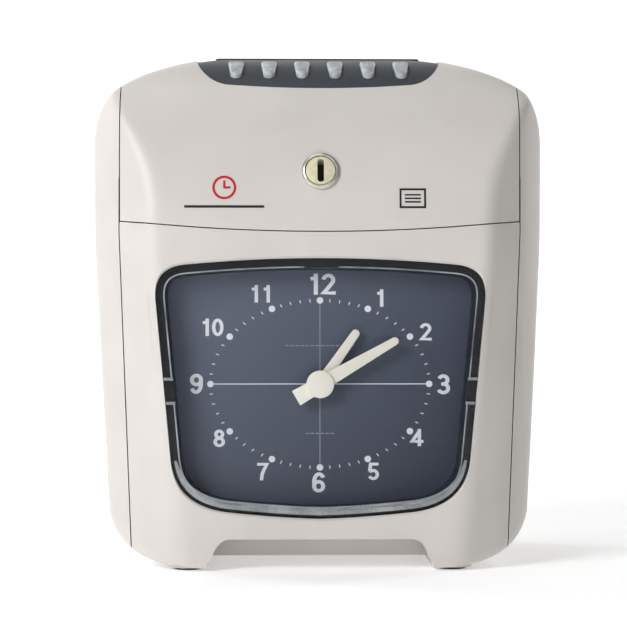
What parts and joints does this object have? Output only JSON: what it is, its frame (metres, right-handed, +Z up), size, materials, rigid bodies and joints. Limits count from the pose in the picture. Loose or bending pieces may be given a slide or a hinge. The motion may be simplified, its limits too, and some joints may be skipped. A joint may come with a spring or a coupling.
{
  "type": "punch time clock",
  "caption": "Desktop time recorder: moulded case, round dial with hands behind a clear window, hinged lid with a key lock, card slot and a row of keys on top, and a card printer inside.",
  "frame": {"origin": "on the floor, under the middle of the case", "axes": "+X to the right as seen from the front, +Y towards the back, +Z up"},
  "size_m": [0.211, 0.13, 0.2381],
  "materials": {
    "casing": "fine satin texture",
    "dark_plastic": "satin",
    "clear_window": "polished",
    "dial_blue": "smooth",
    "hand_paint": "satin",
    "button_grey": "satin",
    "light_plastic": "satin",
    "rubber": "matte",
    "steel": "brushed",
    "plated_steel": "zinc plated",
    "brass": "satin",
    "lock_cream": "satin",
    "copper_wire": "enamelled",
    "circuit_board": "solder mask",
    "laminated_iron": "varnished",
    "battery_wrap": "shrink sleeve"
  },
  "bodies": {
    "case": {"rear_case": "casing", "front_cover": "casing", "hinge_pin_left": "steel", "hinge_pin_right": "steel", "case_screw_left": "steel", "case_screw_right": "steel", "power_inlet": "dark_plastic", "dial_window": "clear_window", "dial_bezel": "dark_plastic", "dial_plate": "dial_blue", "movement_front": "brass", "movement_back": "brass", "stepper_coil": "copper_wire", "button_panel": "dark_plastic", "keypad_board": "circuit_board", "card_guide_front": "plated_steel", "card_guide_rear": "plated_steel", "printer_frame": "plated_steel", "carriage_shaft": "steel", "carriage_motor": "steel", "ribbon_cassette": "dark_plastic", "platen": "rubber", "platen_bar": "plated_steel", "feed_motor": "steel", "chassis_plate": "plated_steel", "main_board": "circuit_board", "transformer": "laminated_iron", "backup_battery": "battery_wrap", "buzzer": "dark_plastic", "foot_front_left": "rubber", "foot_front_right": "rubber", "foot_rear_left": "rubber", "foot_rear_right": "rubber"},
    "lid": {"top_cover": "casing", "lock_body": "steel", "lock_nut": "steel"},
    "lock": {"lock_plug": "lock_cream", "lock_cam": "steel", "lock_cam_nut": "steel"},
    "minute": {"minute_hand": "hand_paint", "minute_arbor": "steel"},
    "motion_wheel": {"minute_wheel": "brass"},
    "hour": {"hour_hand": "hand_paint", "hour_wheel": "brass"},
    "carriage": {"print_carriage": "dark_plastic", "print_head": "steel"},
    "screw": {"lead_screw": "steel"},
    "carriage_drive": {"carriage_pinion": "brass"},
    "feed": {"feed_roller": "rubber"},
    "pinch": {"pinch_roller": "rubber"},
    "feed_drive": {"feed_pinion": "brass"},
    "ribbon_winder": {"ribbon_knob": "light_plastic"},
    "button_1_key": {"button_1": "button_grey"},
    "button_2_key": {"button_2": "button_grey"},
    "button_3_key": {"button_3": "button_grey"},
    "button_4_key": {"button_4": "button_grey"},
    "button_5_key": {"button_5": "button_grey"},
    "button_6_key": {"button_6": "button_grey"}
  },
  "joints": [
    {"name": "cover_hinge", "type": "hinge", "parent": "case", "child": "lid", "pos_m": [0, 0.056, 0.229], "axis": [-1, 0, 0], "range_deg": [0, 85]},
    {"name": "lock_turn", "type": "hinge", "parent": "lid", "child": "lock", "pos_m": [0, -0.06156, 0.1803], "axis": [0, 0.968, -0.251], "range_deg": [0, 90]},
    {"name": "minute_hand_spin", "type": "hinge", "parent": "case", "child": "minute", "pos_m": [0, -0.05, 0.0838], "axis": [0, 1, 0], "continuous": true},
    {"name": "motion_wheel_spin", "type": "hinge", "parent": "case", "child": "motion_wheel", "pos_m": [0, -0.04, 0.0678], "axis": [0, 1, 0], "continuous": true},
    {"name": "hour_hand_spin", "type": "hinge", "parent": "case", "child": "hour", "pos_m": [0, -0.05, 0.0838], "axis": [0, 1, 0], "continuous": true},
    {"name": "carriage_slide", "type": "slide", "parent": "case", "child": "carriage", "axis": [1, 0, 0], "range_m": [-0.028, 0.028]},
    {"name": "lead_screw_spin", "type": "hinge", "parent": "case", "child": "screw", "pos_m": [0, -0.016, 0.163], "axis": [1, 0, 0], "continuous": true},
    {"name": "carriage_pinion_spin", "type": "hinge", "parent": "case", "child": "carriage_drive", "pos_m": [0, -0.02254, 0.17583], "axis": [1, 0, 0], "continuous": true},
    {"name": "feed_roller_spin", "type": "hinge", "parent": "case", "child": "feed", "pos_m": [0, 0.0065, 0.195], "axis": [1, 0, 0], "continuous": true},
    {"name": "pinch_roller_spin", "type": "hinge", "parent": "case", "child": "pinch", "pos_m": [0, -0.0082, 0.195], "axis": [1, 0, 0], "continuous": true},
    {"name": "feed_pinion_spin", "type": "hinge", "parent": "case", "child": "feed_drive", "pos_m": [0, 0.0065, 0.1806], "axis": [1, 0, 0], "continuous": true},
    {"name": "ribbon_knob_spin", "type": "hinge", "parent": "case", "child": "ribbon_winder", "pos_m": [0.048, -0.027, 0.2], "axis": [0, 0, 1], "continuous": true},
    {"name": "button_1_press", "type": "slide", "parent": "case", "child": "button_1_key", "axis": [0, 0.5211, -0.8535], "range_m": [0, 0.0015], "stiffness_N_per_m": 300, "springref_m": -0.0015},
    {"name": "button_2_press", "type": "slide", "parent": "case", "child": "button_2_key", "axis": [0, 0.5211, -0.8535], "range_m": [0, 0.0015], "stiffness_N_per_m": 300, "springref_m": -0.0015},
    {"name": "button_3_press", "type": "slide", "parent": "case", "child": "button_3_key", "axis": [0, 0.5211, -0.8535], "range_m": [0, 0.0015], "stiffness_N_per_m": 300, "springref_m": -0.0015},
    {"name": "button_4_press", "type": "slide", "parent": "case", "child": "button_4_key", "axis": [0, 0.5211, -0.8535], "range_m": [0, 0.0015], "stiffness_N_per_m": 300, "springref_m": -0.0015},
    {"name": "button_5_press", "type": "slide", "parent": "case", "child": "button_5_key", "axis": [0, 0.5211, -0.8535], "range_m": [0, 0.0015], "stiffness_N_per_m": 300, "springref_m": -0.0015},
    {"name": "button_6_press", "type": "slide", "parent": "case", "child": "button_6_key", "axis": [0, 0.5211, -0.8535], "range_m": [0, 0.0015], "stiffness_N_per_m": 300, "springref_m": -0.0015}
  ],
  "couplings": [
    {"joint": "motion_wheel_spin", "follows": "minute_hand_spin", "ratio": -0.33333},
    {"joint": "hour_hand_spin", "follows": "minute_hand_spin", "ratio": 0.083333},
    {"joint": "lead_screw_spin", "follows": "carriage_slide", "rad_per_m": 523.6},
    {"joint": "carriage_pinion_spin", "follows": "carriage_slide", "rad_per_m": -1047.2},
    {"joint": "pinch_roller_spin", "follows": "feed_roller_spin", "ratio": -1.4407},
    {"joint": "feed_pinion_spin", "follows": "feed_roller_spin", "ratio": -2}
  ]
}
